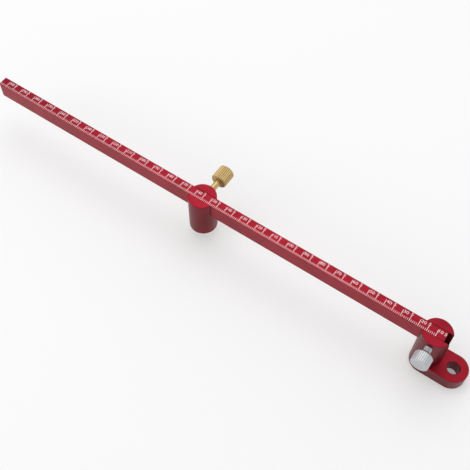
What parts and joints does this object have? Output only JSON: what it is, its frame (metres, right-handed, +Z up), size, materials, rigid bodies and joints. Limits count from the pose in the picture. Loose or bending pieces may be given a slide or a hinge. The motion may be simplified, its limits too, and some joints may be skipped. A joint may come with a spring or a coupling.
{
  "type": "carpenters compass",
  "caption": "Beam compass: a millimetre-scaled metal bar with a fixed pencil head and a sliding needle pivot, each clamped by a knurled thumbscrew.",
  "frame": {"origin": "axis of the pencil hole at the underside of the foot", "axes": "+Z up along the pencil hole, +X along the bar towards the pencil end, +Y towards the slider's thumbscrew"},
  "size_m": [0.3189, 0.0437, 0.0354],
  "materials": {
    "red_anodised_aluminium": "satin anodised",
    "plated_steel": "bright plated",
    "brass": "machined",
    "needle_steel": "ground",
    "pad_nylon": "matte"
  },
  "bodies": {
    "bar": {"scale_bar": "red_anodised_aluminium"},
    "head": {"pencil_head": "red_anodised_aluminium"},
    "head_pad": {"head_pressure_pad": "pad_nylon"},
    "head_screw": {"head_thumbscrew": "plated_steel"},
    "slider": {"slider_body": "red_anodised_aluminium", "pivot_needle": "needle_steel"},
    "slider_pad": {"slider_pressure_pad": "pad_nylon"},
    "slider_screw": {"slider_thumbscrew": "brass"}
  },
  "joints": [
    {"name": "head_along_bar", "type": "slide", "parent": "bar", "child": "head", "axis": [1, 0, 0], "range_m": [-0.01, 0.003]},
    {"name": "head_screw_travel", "type": "slide", "parent": "head", "child": "head_pad", "axis": [0, -1, 0], "range_m": [0, 0.0014]},
    {"name": "head_screw_turn", "type": "hinge", "parent": "head_pad", "child": "head_screw", "pos_m": [-0.0154, 0, 0.0305], "axis": [0, -1, 0], "range_deg": [0, 720]},
    {"name": "slider_along_bar", "type": "slide", "parent": "bar", "child": "slider", "axis": [1, 0, 0], "range_m": [-0.141, 0.117]},
    {"name": "slider_screw_travel", "type": "slide", "parent": "slider", "child": "slider_pad", "axis": [0, 1, 0], "range_m": [0, 0.0014]},
    {"name": "slider_screw_turn", "type": "hinge", "parent": "slider_pad", "child": "slider_screw", "pos_m": [-0.1614, 0, 0.0305], "axis": [0, 1, 0], "range_deg": [0, 720]}
  ],
  "couplings": [
    {"joint": "head_screw_turn", "follows": "head_screw_travel", "rad_per_m": 8975.9},
    {"joint": "slider_screw_turn", "follows": "slider_screw_travel", "rad_per_m": 8975.9}
  ]
}
